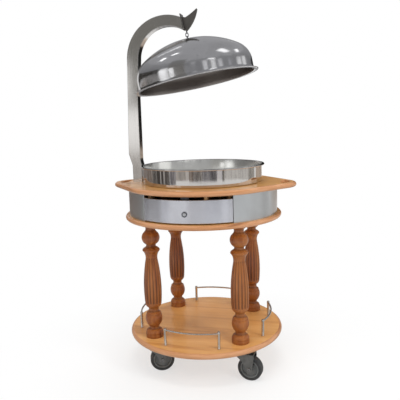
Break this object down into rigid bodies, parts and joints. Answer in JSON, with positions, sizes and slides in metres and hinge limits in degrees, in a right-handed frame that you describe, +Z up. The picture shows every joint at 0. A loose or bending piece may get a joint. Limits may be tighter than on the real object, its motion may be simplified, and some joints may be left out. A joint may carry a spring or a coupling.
{
  "type": "carving trolley",
  "caption": "Round wooden carving trolley with a lower shelf, fluted legs and swivel casters, a steel-aproned drawer, a loose steel pan and a steel arm that hangs a dome cover over it.",
  "frame": {"origin": "on the floor, under the trolley's upright middle axis", "axes": "+Z up, -Y the drawer's side, +X the side across from the arm"},
  "size_m": [0.784, 0.6598, 1.482],
  "materials": {
    "board_wood": "clear satin lacquer over honey-coloured wood",
    "leg_wood": "clear lacquer over reddish-brown stained wood",
    "inner_wood": "thin lacquer over light wood",
    "apron_steel": "fine brushing along the sheet",
    "arm_steel": "soft satin",
    "crest_steel": "dull satin",
    "rail_steel": "satin",
    "mirror_steel": "mirror polish",
    "hook_steel": "dark, lightly worn",
    "zinc_plate": "zinc plated",
    "slide_zinc": "zinc plated",
    "screw_steel": "bright zinc",
    "lock_metal": "nickel plated",
    "hub_plastic": "smooth moulding",
    "tyre_rubber": "matt, slightly dusty"
  },
  "bodies": {
    "frame": {"shelf": "board_wood", "cabinet_floor": "board_wood", "top_board": "board_wood", "apron_band": "apron_steel", "left_cheek": "inner_wood", "right_cheek": "inner_wood", "leg_front_left": "leg_wood", "leg_front_right": "leg_wood", "leg_back_left": "leg_wood", "leg_back_right": "leg_wood", "front_rail_posts": "rail_steel", "front_rail_rod": "rail_steel", "right_rail_posts": "rail_steel", "right_rail_rod": "rail_steel", "back_rail_posts": "rail_steel", "back_rail_rod": "rail_steel", "left_rail_posts": "rail_steel", "left_rail_rod": "rail_steel", "arm": "arm_steel", "arm_plate": "arm_steel", "arm_crest": "crest_steel", "hook_eye": "hook_steel", "frame_bolts": "screw_steel", "rail_screws": "screw_steel", "caster_screws": "screw_steel", "left_slide_outer": "slide_zinc", "right_slide_outer": "slide_zinc", "drawer_catch": "slide_zinc", "drawer_stop": "inner_wood", "front_left_plate": "zinc_plate", "front_right_plate": "zinc_plate", "back_left_plate": "zinc_plate", "back_right_plate": "zinc_plate"},
    "drawer": {"drawer_front": "apron_steel", "drawer_box": "inner_wood", "left_slide_inner": "slide_zinc", "right_slide_inner": "slide_zinc", "lock_barrel": "lock_metal"},
    "lock": {"lock_plug": "lock_metal", "lock_cam": "slide_zinc"},
    "pan": {"pan": "mirror_steel"},
    "link": {"dome_link": "hook_steel"},
    "dome": {"dome_shell": "mirror_steel", "dome_stud": "hook_steel"},
    "front_left_swivel": {"front_left_fork": "zinc_plate", "front_left_axle": "screw_steel"},
    "front_left_wheel": {"front_left_hub": "hub_plastic", "front_left_tyre": "tyre_rubber"},
    "front_right_swivel": {"front_right_fork": "zinc_plate", "front_right_axle": "screw_steel"},
    "front_right_wheel": {"front_right_hub": "hub_plastic", "front_right_tyre": "tyre_rubber"},
    "back_left_swivel": {"back_left_fork": "zinc_plate", "back_left_axle": "screw_steel"},
    "back_left_wheel": {"back_left_hub": "hub_plastic", "back_left_tyre": "tyre_rubber"},
    "back_right_swivel": {"back_right_fork": "zinc_plate", "back_right_axle": "screw_steel"},
    "back_right_wheel": {"back_right_hub": "hub_plastic", "back_right_tyre": "tyre_rubber"}
  },
  "joints": [
    {"name": "drawer_slide", "type": "slide", "parent": "frame", "child": "drawer", "axis": [0, -1, 0], "range_m": [0, 0.28]},
    {"name": "lock_turn", "type": "hinge", "parent": "drawer", "child": "lock", "pos_m": [0, -0.3127, 0.692], "axis": [0, -1, 0], "range_deg": [0, 90]},
    {"name": "pan_lift", "type": "slide", "parent": "frame", "child": "pan", "axis": [0, 0, 1], "range_m": [0, 0.18]},
    {"name": "link_swing", "type": "hinge", "parent": "frame", "child": "link", "pos_m": [-0.04994, 0, 1.38556], "axis": [0, -1, 0], "range_deg": [0, 15]},
    {"name": "dome_tilt", "type": "hinge", "parent": "link", "child": "dome", "pos_m": [-0.04854, 0, 1.37566], "axis": [0, -1, 0], "range_deg": [0, 20]},
    {"name": "front_left_turn", "type": "hinge", "parent": "frame", "child": "front_left_swivel", "pos_m": [-0.18668, -0.18668, 0.114], "axis": [0, 0, 1], "continuous": true},
    {"name": "front_right_turn", "type": "hinge", "parent": "frame", "child": "front_right_swivel", "pos_m": [0.18668, -0.18668, 0.114], "axis": [0, 0, 1], "continuous": true},
    {"name": "back_left_turn", "type": "hinge", "parent": "frame", "child": "back_left_swivel", "pos_m": [-0.18668, 0.18668, 0.114], "axis": [0, 0, 1], "continuous": true},
    {"name": "back_right_turn", "type": "hinge", "parent": "frame", "child": "back_right_swivel", "pos_m": [0.18668, 0.18668, 0.114], "axis": [0, 0, 1], "continuous": true},
    {"name": "front_left_roll", "type": "hinge", "parent": "front_left_swivel", "child": "front_left_wheel", "pos_m": [-0.15379, -0.1747, 0.05], "axis": [-0.342, 0.9397, 0], "continuous": true},
    {"name": "front_right_roll", "type": "hinge", "parent": "front_right_swivel", "child": "front_right_wheel", "pos_m": [0.22114, -0.19275, 0.05], "axis": [0.1736, 0.9848, 0], "continuous": true},
    {"name": "back_left_roll", "type": "hinge", "parent": "back_left_swivel", "child": "back_left_wheel", "pos_m": [-0.21957, 0.19865, 0.05], "axis": [-0.342, -0.9397, 0], "continuous": true},
    {"name": "back_right_roll", "type": "hinge", "parent": "back_right_swivel", "child": "back_right_wheel", "pos_m": [0.2184, 0.20147, 0.05], "axis": [-0.4226, 0.9063, 0], "continuous": true}
  ]
}
